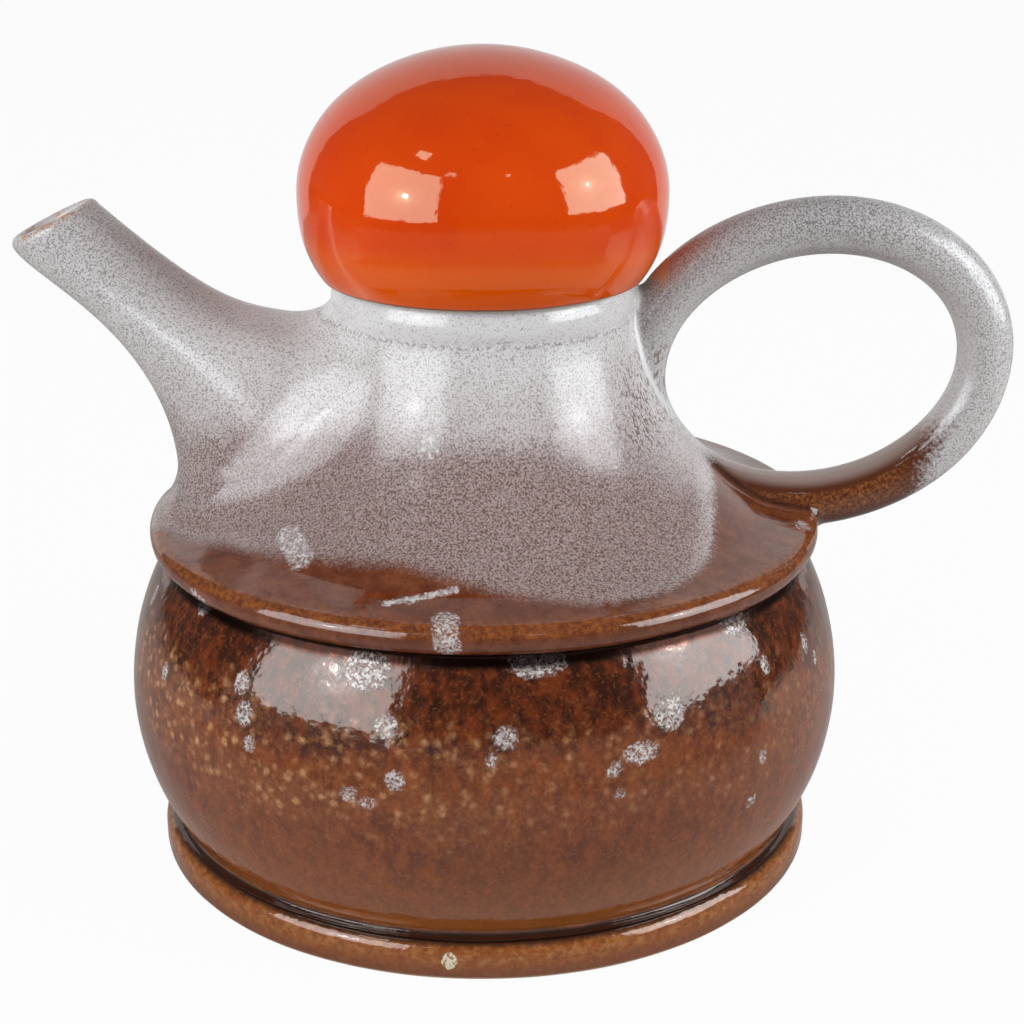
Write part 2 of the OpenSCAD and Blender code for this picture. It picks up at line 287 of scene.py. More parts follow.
def turned(name, section, finish, wobble, size=28, seed=0.0, sides=360):
    """A piece turned round the axis from its section. A section that starts on the axis also ends there."""
    section = [np.array(p, float) for p in section]
    if section[0][0] > TINY:
        section = section + [section[0]]
    line = bpy.data.meshes.new(name + " section")
    line.from_pydata([(p[0] * MM, 0, p[1] * MM) for p in section],
                     [(i, i + 1) for i in range(len(section) - 1)], [])
    maker = placed(name + " section", line)
    modifier = maker.modifiers.new("turning", "NODES")
    modifier.node_group = turning
    sockets = {item.name: item.identifier for item in turning.interface.items_tree if item.in_out == "INPUT"}
    for key, value in (("Sides", sides), ("Wobble depth", wobble * MM), ("Wobble size", size * MM),
                       ("Seed", seed), ("Finish", finish)):
        modifier[sockets[key]] = value
    bpy.context.view_layer.update()
    mesh = bpy.data.meshes.new_from_object(maker.evaluated_get(bpy.context.evaluated_depsgraph_get()))
    bpy.data.objects.remove(maker)
    bpy.data.meshes.remove(line)
    mesh.name = name
    outward(mesh)
    return placed(name, mesh)


# ---- The upper pot: one soft shape, cut into its named pieces ----
class Table:
    """Values on a square grid of the section, read between its points."""

    def __init__(self, low, high, make, step=0.5):
        self.low, self.step = low, step
        u = np.arange(low[0], high[0] + step, step)
        v = np.arange(low[1], high[1] + step, step)
        self.values = make(*np.meshgrid(u, v, indexing="ij"))

    def at(self, u, v):
        a = np.clip((u - self.low[0]) / self.step, 0, self.values.shape[0] - 1.001)
        b = np.clip((v - self.low[1]) / self.step, 0, self.values.shape[1] - 1.001)
        i, j = a.astype(np.int32), b.astype(np.int32)
        a, b = a - i, b - j
        near = self.values[i, j] * (1 - a) + self.values[i + 1, j] * a
        far = self.values[i, j + 1] * (1 - a) + self.values[i + 1, j + 1] * a
        return near * (1 - b) + far * b


def line_distance(points, u, v, closed=True):
    """Distance to a line, and how far along the line its nearest point lies."""
    points = np.array(points, float)
    ends = np.roll(points, -1, 0) if closed else points[1:]
    best, where, run = np.full(u.shape, 1e9), np.zeros(u.shape), 0.0
    for p, q in zip(points, ends):
        side = q - p
        length = np.linalg.norm(side)
        if length < TINY:
            continue
        t = np.clip(((u - p[0]) * side[0] + (v - p[1]) * side[1]) / length ** 2, 0, 1)
        gap = np.hypot(u - p[0] - t * side[0], v - p[1] - t * side[1])
        where = np.where(gap < best, run + t * length, where)
        best = np.minimum(best, gap)
        run += length
    return best, where


def region_distance(points, u, v):
    """Distance to the edge of a closed region, less than nothing inside it."""
    inside = np.zeros(u.shape, bool)
    for p, q in zip(points, points[1:] + points[:1]):
        if abs(p[1] - q[1]) > TINY:
            crosses = (p[1] > v) != (q[1] > v)
            inside ^= crosses & (u < (q[0] - p[0]) * (v - p[1]) / (q[1] - p[1]) + p[0])
    gap, _ = line_distance(points, u, v)
    return np.where(inside, -gap, gap)


def both(a, b, radius):
    """The shape inside a and b, with the edge between them rounded."""
    p, q = a + radius, b + radius
    return np.hypot(np.maximum(p, 0), np.maximum(q, 0)) - radius + np.minimum(np.maximum(p, q), 0)


def either(a, b, radius):
    """The shape inside a or b, with a fillet between them."""
    return -both(-a, -b, radius)


def mirrored(points):
    """A section closed across the axis, so that the axis is no edge of it."""
    return [np.array(p, float) for p in points] + [np.array([-p[0], p[1]], float) for p in points[::-1]]


collar_centre = np.array([COLLAR_WIDTH / 2 - COLLAR_ROUND, BELLY_TOP_Z + COLLAR_ROUND])
neck_centre = np.array([SHOULDER_TOP_WIDTH / 2, SHOULDER_TOP_Z]) - NECK_BULGE * along(-NECK_LEAN)
neck_top_lean = degrees(asin((NECK_TOP_Z - neck_centre[1]) / NECK_BULGE))
bell_line = (arc(collar_centre, COLLAR_ROUND, -90, 90, 10) + shoulder_line()[1:]
             + arc(neck_centre, NECK_BULGE, -NECK_LEAN, neck_top_lean)[1:])
bell_outside = mirrored([[0, BELLY_TOP_Z]] + bell_line + [[0, NECK_TOP_Z]])
seam_radius = belly_line(WALL)[-1][0]
CAVITY_DROP, CAVITY_RISE = 9, 30  # how far the cavity's section runs on past the seam and past the neck
shoulder_inside = [p for p in shoulder_line(WALL) if p[0] < seam_radius]
bell_inside = mirrored(
    [[seam_radius, BELLY_TOP_Z - CAVITY_DROP], [seam_radius, shoulder_inside[0][1] - 1]] + shoulder_inside
    + [[NECK_BORE / 2, SHOULDER_TOP_Z - 1], [NECK_BORE / 2, NECK_TOP_Z + CAVITY_RISE]])

SECTION_LOW, SECTION_HIGH = (-2, 62), (104, 152)
bell_table, cavity_table = [Table(SECTION_LOW, SECTION_HIGH, partial(region_distance, section))
                            for section in (bell_outside, bell_inside)]
rise_table = Table(SECTION_LOW, SECTION_HIGH, lambda r, z: line_distance(shoulder_line(), r, z, False)[1])


# The middle line of the handle's oval
turn = np.linspace(0, 2 * pi, 240, endpoint=False)
handle_axes = along(HANDLE_TILT), along(HANDLE_TILT + 90)
handle_line = HANDLE_CENTRE + np.outer(HANDLE_LENGTH / 2 * np.cos(turn), handle_axes[0]) \
    + np.outer(HANDLE_HEIGHT / 2 * np.sin(turn), handle_axes[1])
handle_table = Table((20, 64), (128, 156), lambda x, z: line_distance(handle_line, x, z)[0])

mouth_slope, mouth_out = along(MOUTH_TILT), along(MOUTH_TILT + 90)
mouth_high = MOUTH_CENTRE + mouth_slope * MOUTH_LENGTH / 2
mouth_low = MOUTH_CENTRE - mouth_slope * MOUTH_LENGTH / 2
root_high = np.array([-SHOULDER_TOP_WIDTH / 2 + ROOT_HIGH_IN, SHOULDER_TOP_Z - ROOT_HIGH_DROP])
root_low = np.array([-COLLAR_WIDTH / 2 + ROOT_LOW_IN, COLLAR_TOP_Z])
# Each edge runs from the root to the mouth, and the two points between its ends pull it into its curve
upper_edge = [root_high, root_high + [-33.2, 5.5], mouth_high + [33.6, -30.2], mouth_high]
lower_edge = [root_low, root_low + [4.7, 38.2], mouth_low + [3.6, -7.4], mouth_low]


def curve(points, t):
    """The point so far along the curve that four points give."""
    weights = ((1 - t) ** 3, 3 * (1 - t) ** 2 * t, 3 * (1 - t) * t * t, t ** 3)
    return sum(w[..., None] * p for w, p in zip(weights, points))


def spout_position(x, z):
    """How far along the spout each point of its middle plane lies, from 0 at the root to 1 at the mouth."""
    place = np.stack([x, z], -1)
    steps = np.linspace(0, 1, 61)

    def side(t):
        low = curve(lower_edge, t)
        slope = curve(upper_edge, t) - low
        gap = place - low
        return slope[..., 0] * gap[..., 1] - slope[..., 1] * gap[..., 0]

    found = np.zeros(x.shape)
    before = side(np.zeros(x.shape))
    for a, b in zip(steps, steps[1:]):
        after = side(np.full(x.shape, b))
        ahead = (before >= 0) & (after < 0) & (found == 0)
        found = np.where(ahead, a + (b - a) * before / np.where(ahead, before - after, 1), found)
        before = after
    return np.where((found == 0) & (before >= 0), 1, found)


SPOUT_LOW, SPOUT_HIGH = (-112, 66), (4, 160)
position_table = Table(SPOUT_LOW, SPOUT_HIGH, spout_position)


def spout_distance(x, y, z, inset=0):
    """The distance to the spout, whose sections are ovals across its two edges, wide at the root."""
    t = position_table.at(x, z)
    high, low = curve(upper_edge, t), curve(lower_edge, t)
    half = (high - low) / 2
    long = np.linalg.norm(half, axis=-1)
    gap = np.stack([x, z], -1) - (high + low) / 2
    s = np.einsum("...i,...i", gap, half) / long
    long = long - inset
    wide = MOUTH_WIDTH / 2 + (ROOT_WIDTH - MOUTH_WIDTH) / 2 * (1 - t) ** 2 * (1 + 0.5 * t) - inset
    k = np.sqrt((s / long) ** 2 + (y / wide) ** 2)
    slope = np.sqrt((s / long ** 2) ** 2 + (y / wide ** 2) ** 2)
    return k * (k - 1) / np.maximum(slope, TINY)


HOLE_CENTRE = np.array([-SHOULDER_TOP_WIDTH / 2 - SPOUT_HOLE_OUT, 0, COLLAR_TOP_Z + SPOUT_HOLE_RISE])
hole_turn = radians(SPOUT_HOLE_TILT)
HOLE_AXIS = np.array([-cos(hole_turn), 0, sin(hole_turn)])
SPOUT_FILLET, HANDLE_FILLET, RIM_FILLET = 11, 2.6, 0.8
UNEVENNESS = 0.09
# The spout ends and the handle starts at these places, and past them they are simply far away
SPOUT_END_X, HANDLE_START_X, FAR = 4, 20, 500


def uneven(x, y, z):
    """The slight unevenness of a shape finished by hand."""
    return UNEVENNESS * (np.sin(x / 9 + y / 13 + 1.3) * np.cos(z / 8 - y / 17)
                         + np.sin(y / 10 - z / 12 + x / 21))


def spout_side(x, y, z, inset=0):
    """The distance to the spout, made smaller all round by the inset."""
    return np.where(x < SPOUT_END_X, spout_distance(x, y, z, inset), FAR)


def parts_of(x, y, z):
    """The distances to the turned bell, the spout and the handle, each less than nothing inside it."""
    bell = bell_table.at(np.hypot(x, y), z)
    handle = np.where(x > HANDLE_START_X, np.hypot(handle_table.at(x, z), y) - HANDLE_THICK / 2, FAR)
    return bell, spout_side(x, y, z), handle


def upper_pot(x, y, z):
    """The whole upper pot: less than nothing in its clay."""
    bell, spout, handle = parts_of(x, y, z)
    solid = either(either(bell, spout, SPOUT_FILLET), handle, HANDLE_FILLET) + uneven(x, y, z)
    beyond = (x - MOUTH_CENTRE[0]) * mouth_out[0] + (z - MOUTH_CENTRE[1]) * mouth_out[1] - SPOUT_WALL / 2
    lip = SPOUT_WALL / 2
    channel = np.maximum(spout_side(x, y, z, SPOUT_WALL), -bell)
    gap = [x - HOLE_CENTRE[0], y, z - HOLE_CENTRE[2]]
    run = gap[0] * HOLE_AXIS[0] + gap[2] * HOLE_AXIS[2]
    bore = np.sqrt(np.maximum(gap[0] ** 2 + gap[1] ** 2 + gap[2] ** 2 - run ** 2, 0)) - SPOUT_HOLE / 2
    bore = np.maximum(bore, np.abs(run) - SHOULDER_TOP_WIDTH / 4)
    hollow = np.minimum(cavity_table.at(np.hypot(x, y), z), bore)
    solid = both(solid, -hollow, RIM_FILLET)
    return np.maximum(both(solid, beyond, lip), both(-channel, beyond, lip))


PIECE_SOFTNESS, JUST_OUTSIDE = 0.12, 0.01
COLLAR_SPLIT_Z = COLLAR_TOP_Z + 1.2


def piece_of_pot(name):
    """The part of the upper pot that one piece is, fading into the clay past its edge."""
    def shape(x, y, z):
        bell, spout, handle = parts_of(x, y, z)
        to_spout, to_handle = spout - bell, handle - bell
        turned_side = np.maximum(-to_spout, -to_handle)
        past = {
            "handle": to_handle,
            "spout": np.maximum(to_spout, -to_handle),
            "neck_ring": np.maximum(SHOULDER_TOP_Z - z, turned_side),
            "collar": np.maximum(z - COLLAR_SPLIT_Z, turned_side),
            "shoulder": np.maximum(np.maximum(z - SHOULDER_TOP_Z, COLLAR_SPLIT_Z - z), turned_side),
        }[name]
        return upper_pot(x, y, z) + PIECE_SOFTNESS * np.maximum(past, 0) ** 2
    return shape


def slope_of(shape, at, step=0.4):
    """How the shape's distance changes along each axis."""
    moves = np.eye(3) * step
    return np.stack([(shape(*(at + move).T) - shape(*(at - move).T)) / (2 * step) for move in moves], 1)


def settle(shape, at, most, rounds=3):
    """Moves points on to the shape's surface."""
    for _ in range(rounds):
        slope = slope_of(shape, at)
        size = np.maximum(np.einsum("ij,ij->i", slope, slope), 0.05)
        move = slope * (shape(*at.T) / size)[:, None]
        length = np.linalg.norm(move, axis=1, keepdims=True)
        at = at - move * np.minimum(1, most / np.maximum(length, TINY))
    return at


def skin_of(shape, low, high, cell):
    """The closed surface of a shape: points and four-sided faces, facing outwards."""
    axes = [np.arange(a, b + cell, cell) for a, b in zip(low, high)]
    size = [len(a) for a in axes]
    value = np.stack([shape(*np.meshgrid([x], axes[1], axes[2], indexing="ij"))[0] for x in axes[0]])
    value = value.astype(float)
    for axis in range(3):  # The block's own faces count as outside, so that the skin always closes
        for side in (0, -1):
            edge = [slice(None)] * 3
            edge[axis] = side
            value[tuple(edge)] = np.maximum(value[tuple(edge)], JUST_OUTSIDE)
    inside = value < 0
    cells = [n - 1 for n in size]
    total, sums, counts = int(np.prod(cells)), [0, 0, 0], 0
    quads = []
    for axis in range(3):
        here = [slice(None)] * 3
        there = [slice(None)] * 3
        here[axis], there[axis] = slice(0, -1), slice(1, None)
        cross = inside[tuple(here)] != inside[tuple(there)]
        index = np.argwhere(cross)
        a, b = value[tuple(here)][cross], value[tuple(there)][cross]
        point = index.astype(float)
        point[:, axis] += a / (a - b)
        u, v = (axis + 1) % 3, (axis + 2) % 3
        around = []
        for du, dv in ((-1, -1), (0, -1), (0, 0), (-1, 0)):
            corner = index.copy()
            corner[:, u] += du
            corner[:, v] += dv
            key = np.ravel_multi_index(corner.T, cells)
            around.append(key)
            counts = counts + np.bincount(key, minlength=total)
            sums = [s + np.bincount(key, point[:, k], total) for k, s in enumerate(sums)]
        around = np.stack(around, 1)
        around[~(a < 0)] = around[~(a < 0)][:, ::-1]
        quads.append(around)
    used = np.flatnonzero(counts)
    number = np.full(total, -1)
    number[used] = np.arange(len(used))
    at = np.stack([s[used] / counts[used] for s in sums], 1) * cell + np.array([a[0] for a in axes])
    quads = number[np.concatenate(quads)]
    at = settle(shape, at, cell / 2)
    starts, ends = np.concatenate([quads[:, [i, (i + 1) % 4]] for i in range(4)]).T
    for _ in range(2):
        degree = np.bincount(starts, minlength=len(at)) + np.bincount(ends, minlength=len(at))
        mean = np.stack([(np.bincount(starts, at[ends, k], len(at))
                          + np.bincount(ends, at[starts, k], len(at))) / degree for k in range(3)], 1)
        at = settle(shape, (at + mean) / 2, cell / 2, 2)
    return at, quads


def moulded(name, shape, low, high, cell, finish):
    """A piece made from the surface of a shape, with the shape's own normals."""
    at, quads = skin_of(shape, low, high, cell)
    mesh = bpy.data.meshes.new(name)
    mesh.from_pydata(at * MM, [], quads, shade_flat=False)
    mesh.validate()
    slope = slope_of(shape, at)
    slope /= np.maximum(np.linalg.norm(slope, axis=1, keepdims=True), TINY)
    mesh.normals_split_custom_set_from_vertices(slope)
    outward(mesh)
    mesh.materials.append(finish)
    return placed(name, mesh)


# ---- Materials ----
class Glaze(Nodes):
    """A material, its nodes and its shader."""

    def __init__(self, name):
        self.material = bpy.data.materials.new(name)
        self.material.use_nodes = True
        super().__init__(self.material.node_tree)
        self.place = self.node("ShaderNodeTexCoord", out="Object")

    def axis(self, name):
        """A coordinate in millimetres."""
        return self.node("ShaderNodeSeparateXYZ", (), {0: self.place}, name) * 1000.0

    def noise(self, size, detail=2.0, roughness=0.5, stretch=1.0, at=0):
        """A noise whose grains are so many millimetres wide, from its own part of the pattern."""
        place = self.node("ShaderNodeMapping", (), {"Vector": self.place, "Location": (at,) * 3,
                                                    "Scale": (1.0, 1.0, stretch)})
        return self.node("ShaderNodeTexNoise", (), {"Vector": place, "Scale": 1000 / size, "Detail": detail,
                                                    "Roughness": roughness})

    def wander(self, reach, *noise, **settings):
        """A noise that swings round 0, by half its reach either way."""
        return (self.noise(*noise, **settings) - 0.5) * reach

    def cells(self, size, at=0):
        """The distance from the middle of the nearest cell, for cells so many millimetres wide."""
        place = self.node("ShaderNodeMapping", (), {"Vector": self.place, "Location": (at,) * 3})
        return self.node("ShaderNodeTexVoronoi", (), {"Vector": place, "Scale": 1000 / size}, "Distance")

    def attribute(self, name):
        return self.node("ShaderNodeAttribute", {"attribute_name": name}, (), "Fac")

    def mix(self, share, first, second):
        """From the first colour to the second."""
        return self.node("ShaderNodeMix", {"data_type": "RGBA"}, {0: share, 6: first, 7: second}, 2)

    def bump(self, height, depth, normal=None):
        sockets = {"Height": height, "Distance": depth * MM, "Strength": 1.0}
        if normal:
            sockets["Normal"] = normal
        return self.node("ShaderNodeBump", (), sockets)

    def output(self, shader):
        self.node("ShaderNodeOutputMaterial", (), {"Surface": shader}, None)

    def finish(self, colour, roughness, normal, **constants):
        """The material, with a shader of this colour, roughness and relief."""
        self.output(self.node("ShaderNodeBsdfPrincipled", (), {
            "Base Color": colour, "Roughness": roughness, "Normal": normal, **constants}))
        return self.material


def rgb(red, green, blue):
    """A colour given in screen values from 0 to 255."""
    def linear(value):
        value /= 255
        return value / 12.92 if value <= 0.04045 else ((value + 0.055) / 1.055) ** 2.4
    return (linear(red), linear(green), linear(blue), 1.0)


def orange_glaze():
    """Even, thick, very glossy orange."""
    g = Glaze("orange glaze")
    z = g.axis("Z")
    cloud = g.noise(22, 3).between(0.35, 0.7)
    colour = g.mix(cloud, rgb(208, 58, 0), rgb(215, 67, 0))
    pits = g.noise(1.3, 2, at=3).between(0.66, 0.74)
    colour = g.mix(pits * 0.3, colour, rgb(176, 40, 0))
    colour = g.mix(z.below(NECK_TOP_Z + 7, NECK_TOP_Z + 14) * 0.7, colour, rgb(224, 88, 0))
    # Painted shade: the lowest half millimetre of the lid is darkened, standing for the shadow of the gap
    # where the lid sits on the neck.
    colour = g.mix(z.below(NECK_TOP_Z + 0.2, NECK_TOP_Z + 0.7) * 0.9, colour, rgb(70, 22, 8))
    ripple = g.bump(g.noise(2.2, 2, at=7), 0.035, g.bump(g.noise(13, 2, at=5), 0.16))
    rough = 0.03 + 0.05 * g.noise(6, 2, at=9)
    return g.finish(colour, rough, ripple, **{"IOR": 1.6, "Specular Tint": (0.86, 1.0, 0.7, 1.0)})


def brown_colour(g, z):
    """The brown glaze: dark and thick at the top, golden where it breaks, smoother below."""
    edge = z + g.wander(18, 26, 2, at=1) + g.wander(12, 5, 3, at=2)
    low = edge.below(49, 56)
    cloud = g.noise(2.6, 4, 0.62, stretch=0.55, at=4)
    dark = g.mix(cloud.between(0.36, 0.7), rgb(50, 17, 5), rgb(108, 45, 15))
    mid = g.mix(cloud.between(0.32, 0.7), rgb(92, 38, 12), rgb(132, 62, 22))
    broad = g.noise(18, 2, at=6).between(0.35, 0.65) * low
    colour = g.mix(broad * 0.35, g.mix(low, dark, mid), rgb(116, 62, 26))
    colour = g.mix(z.below(10, 34) * 0.6, colour, rgb(158, 88, 40))
    side = g.axis("X").between(-75, 60)
    band = edge.zone(31, 43, 54, 63) * (1 - 0.7 * side)
    clusters = g.noise(2.2, 3, 0.58, at=8).between(0.44, 0.62)
    dots = g.cells(2.4, at=10).below(0.1, 0.62) * g.noise(3.5, 2, at=12).between(0.36, 0.56)
    beads = g.noise(1.1, 3, 0.6, at=9).between(0.5, 0.64)
    gold = g.mix(dots, rgb(148, 88, 48), rgb(200, 146, 100))
    colour = g.mix((band * (clusters * (0.4 + 0.5 * beads) + dots * 0.6)).clamped() * 0.92, colour, gold)
    fine = g.noise(0.8, 3, 0.6, at=11)
    colour = g.mix(fine.between(0.52, 0.7) * 0.35, colour, rgb(56, 20, 6))
    return g.mix(fine.below(0.32, 0.46) * 0.2, colour, rgb(178, 112, 60))


def splash(g, colour, warm=0.0):
    """Pale splashes that break up into dots towards their edges."""
    cream = g.attribute("cream")
    dots = g.noise(0.62, 3, 0.6, at=13)
    cover = 0.56 - 0.1 * cream.between(-0.6, 1.2) - 0.4 * cream.between(3, 5)
    near = (cream + g.wander(1.6, 1.4, 2, at=14)).between(-0.3, 0.3)
    mask = (dots - cover + 0.5).between(0.46, 0.56) * near
    pale = g.mix(g.noise(1.1, 2, at=15).between(0.4, 0.62), rgb(164, 150, 147), rgb(214, 209, 205))
    pale = g.mix(warm, pale, rgb(236, 226, 196))
    return g.mix(mask * 0.78 + near * 0.1, colour, pale), mask


def brown_glaze():
    """Glossy brown glaze with pale splashes, on the belly and the foot."""
    g = Glaze("brown glaze")
    z = g.axis("Z")
    colour = brown_colour(g, z)
    wave = g.wander(1.2, 7, 2, at=16)
    wavy = z + wave
    above_foot = z.between(6.6, FOOT_HEIGHT - 0.5)
    # The groove over the foot is made near black: pooled glaze, together with painted shade of the groove.
    groove_pool_and_shade = wavy.below(9.2, 10.3) * above_foot
    line = wavy.zone(9.8, 11.0, 11.4, 14.0)
    colour = g.mix(line * 0.55, colour, rgb(176, 104, 50))
    colour = g.mix(groove_pool_and_shade * 0.92, colour, rgb(28, 14, 14))
    foot = 1 - above_foot
    buff = g.noise(1.7, 4, 0.65, stretch=1.3, at=17).between(0.42, 0.66)
    colour = g.mix(foot * buff * (0.25 + 0.5 * z.between(2.5, 5.5)), colour, rgb(176, 116, 62))
    colour = g.mix(foot * z.below(1.5, 4.5) * 0.45, colour, rgb(98, 54, 42))
    colour, mask = splash(g, colour, foot)
    # A dark strip under the collar's overhang: pooled glaze, together with painted shade of the overhang.
    rim_pool_and_shade = (z + wave * 0.5).between(67.3, 68.7)
    colour = g.mix(rim_pool_and_shade * 0.9, colour, rgb(26, 12, 9))
    bare = z.below(0.3, 1.2)
    colour = g.mix(bare, colour, rgb(206, 178, 142))
    ripple = g.bump(g.noise(1.9, 2, at=19), 0.05, g.bump(g.noise(9, 3, at=21), 0.3))
    ripple = g.bump(mask, 0.04, ripple)
    rough = (0.06 + 0.06 * g.noise(5, 2, at=23) + 0.5 * bare + 0.12 * mask + 0.12 * rim_pool_and_shade).clamped()
    # The Metallic value dims the reflection in the dark strip under the collar, as painted shade.
    return g.finish(colour, rough, ripple, **{
        "IOR": 1.65, "Specular Tint": (1.0, 0.9, 0.84, 1.0), "Metallic": rim_pool_and_shade * 0.92})


def dipped_glazes():
    """The upper pot: white glaze over brown, speckled through where it is thin."""
    g = Glaze("speckled white glaze")
    z = g.axis("Z")
    dip, inside, bare, lip, thin, handled, band, joint_highlight_and_shade, inner = map(g.attribute, (
        "dip", "inside", "bare", "lip", "thin", "handled", "band", "joint_highlight_and_shade", "inner"))
    side = g.axis("X")
    fade = dip + g.wander(3, 9, 3, 0.6, at=25) + g.wander(5, 0.9, 3, 0.6, at=27)
    white = (fade * (1 - 0.5 * side.below(10, 40))).between(-0.4, 2.4)
    height = z + side.between(24, 46) * 12 + g.wander(14, 24, 2, at=29) + g.wander(5, 3, 2, at=31)
    thick = (height.between(95.5, 108) * 0.7 + height.between(106, 122) * 0.3 + handled * 0.8).clamped()
    base = g.mix(thick, rgb(168, 148, 144), rgb(214, 210, 208))
    speck = g.mix(thick, rgb(84, 56, 48), rgb(150, 135, 131))
    grain = g.noise(0.42, 3, 0.65, at=33)
    root = side.zone(22, 34, 50, 60) * z.zone(92, 100, 112, 118)
    fringe = side.between(38, 48) * (1 - handled) * fade.zone(0.5, 2.5, 4, 9)
    base = g.mix(fringe * 0.45, base, rgb(204, 198, 196))
    base = g.mix(thin, base, rgb(184, 180, 178))
    speck = g.mix(thin, speck, rgb(104, 96, 94))
    specks = (grain + (1 - thick) * 0.05 + thin * 0.05 - band * 0.05 - fringe * 0.05).between(0.47, 0.66)
    specks = specks * (1 - 0.45 * handled * inner.between(0.1, 0.6))
    glaze = g.mix(specks * 0.85, base, speck)
    big = g.noise(1.0, 2, at=34).between(0.62, 0.72) * 0.45
    flecks = g.noise(0.8, 1, at=36, stretch=0.5).between(0.54, 0.62)
    big = (big + root * flecks * 0.9).clamped()
    glaze = g.mix(big, glaze, g.mix(thick, rgb(96, 64, 54), rgb(128, 112, 108)))
    line = band.zone(0.05, 0.4, 0.6, 0.95) * g.noise(0.8, 2, at=38).between(0.45, 0.6)
    glaze = g.mix(line * 0.55, glaze, rgb(112, 98, 96))
    # Painted highlight: a pale line along the joint round the handle's top.
    glaze = g.mix(joint_highlight_and_shade, glaze, rgb(228, 224, 222))
    brown = g.mix(g.noise(5, 4, 0.6, at=35).between(0.35, 0.7), rgb(96, 46, 24), rgb(122, 66, 40))
    rim = z.zone(74.6, 75.8, 77.0, 77.8) * g.noise(1.2, 4, 0.65, at=42).between(0.4, 0.62)
    brown = g.mix(rim * 0.5, brown, rgb(166, 96, 42))
    gold = g.noise(0.75, 4, 0.65, at=44).between(0.36, 0.76) * side.below(88, 100)
    leg = g.mix(gold * inner.between(-0.75, -0.2), rgb(82, 38, 18), rgb(156, 94, 48))
    leg = g.mix(inner.between(0.38, 0.54), leg, rgb(88, 44, 24))
    leg = g.mix(inner.between(0.56, 0.95) * 0.85, leg, rgb(170, 150, 142))
    brown = g.mix(g.noise(0.9, 3, at=37).between(0.5, 0.7) * 0.35, brown, rgb(60, 24, 8))
    brown = g.mix(handled, brown, leg)
    # Painted shade together with gathered glaze: a dark line along the joint round the handle's foot.
    brown = g.mix(joint_highlight_and_shade * -0.85, brown, rgb(44, 20, 12))
    colour = g.mix(white, brown, glaze)
    colour, mask = splash(g, colour)
    cavity = g.mix(g.noise(7, 3, at=41), rgb(70, 34, 18), rgb(106, 58, 32))
    colour = g.mix(inside, colour, g.mix(side.between(-86, -74), rgb(206, 194, 192), cavity))
    colour = g.mix(lip * g.noise(2.4, 2, at=39).between(0.42, 0.62) * 0.8, colour, rgb(178, 112, 70))
    colour = g.mix(bare, colour, rgb(205, 184, 154))
    ripple = g.bump(g.noise(1.9, 2, at=43), 0.04, g.bump(g.noise(11, 2, at=45), 0.2))
    rough = (0.08 + 0.13 * white * (1 - 0.35 * band) + 0.5 * bare).clamped()
    return g.finish(colour, rough, ripple, **{"IOR": 1.56})


def bare_clay():
    """Unglazed fired clay with fine grog."""
    g = Glaze("bare clay")
    cloud = g.noise(11, 3, at=47)
    colour = g.mix(cloud.between(0.35, 0.7), rgb(196, 170, 136), rgb(222, 204, 176))
    grog = g.noise(0.7, 2, at=49)
    colour = g.mix(grog.between(0.62, 0.72) * 0.6, colour, rgb(140, 98, 66))
    bump = g.bump(grog, 0.05, g.bump(g.noise(5, 3, at=51), 0.1))
    return g.finish(colour, 0.78 + 0.12 * cloud, bump)


# ---- Where the glazes end and the splashes lie ----
# Azimuth in degrees from the handle, then the height and radius of the lower edge of the white glaze
WHITE_EDGE = [
    (-179, 70, 76), (-173, 71.5, 75), (-168.5, 75.8, 73.9), (-154.3, 77.9, 67.6), (-141.1, 79.3, 62.2),
    (-128.4, 80.4, 60.2), (-117.2, 81.2, 58.8), (-106.7, 82, 57.6), (-96.4, 80.5, 59.8), (-83.9, 78.8, 64),
    (-70.7, 77.8, 68.1), (-61.7, 77.7, 68.6), (-55, 77.8, 67.8), (-48.1, 78.4, 65.4), (-41.4, 79, 63.2),
    (-35.2, 80.7, 59.7), (-29.1, 82.7, 56.6), (-21.7, 84.5, 54.1), (-11.7, 85.9, 52.3), (-4.7, 87.3, 50.7),
]
# Azimuth, height, radius of the splash and how much wider than high it is
BELLY_SPLASHES = [
    (-108.5, 66.6, 3.8, 1.35), (-130, 59.4, 2.5, 0.8), (-128.4, 53.8, 2.6, 0.9), (-104.5, 57.1, 2.4, 1),
    (-144.7, 69.9, 2.6, 1), (-149.8, 53.6, 2.2, 0.7), (-165.5, 62.7, 2.3, 0.7), (-126.7, 48.3, 1.7, 1),
    (-81.7, 68.9, 2.9, 2), (-61.8, 56.6, 3.5, 1), (-45, 69.3, 2.9, 1.4), (-87.1, 55.9, 2.2, 1.2),
    (-67.1, 50.3, 2.2, 1.8), (-41, 59, 1.9, 0.8), (-27.9, 57.8, 2.2, 0.7), (-25, 53.3, 1.7, 0.8),
    (-44.5, 41.1, 1.9, 0.7), (-46.7, 32, 1.6, 1), (-89.2, 51.6, 1.7, 0.8), (-102.8, 47, 2.2, 1),
    (-106.9, 41.7, 1.4, 1.4), (-109.7, 43.1, 1.7, 1.2), (-71.5, 47.7, 1.6, 1.2), (-70.9, 42.8, 1.3, 1),
    (171, 58, 2.4, 0.9), (160, 66, 2.9, 1.5), (143, 52, 2.2, 1), (128, 61, 3, 1), (117, 47, 1.7, 1.1),
    (101, 68.5, 2.9, 1.8), (92, 56, 2.6, 1), (76, 50, 2, 1.2), (63, 63, 3.2, 0.9), (48, 55, 2.2, 1),
    (36, 69, 2.6, 1.6), (22, 49, 1.9, 1), (9, 60, 2.3, 0.8), (-8, 52, 1.9, 1),
]
FOOT_SPLASHES = [(-95.8, 4.6, 2.0, 0.85), (74, 4.5, 2, 1.4), (150, 4, 1.8, 1)]
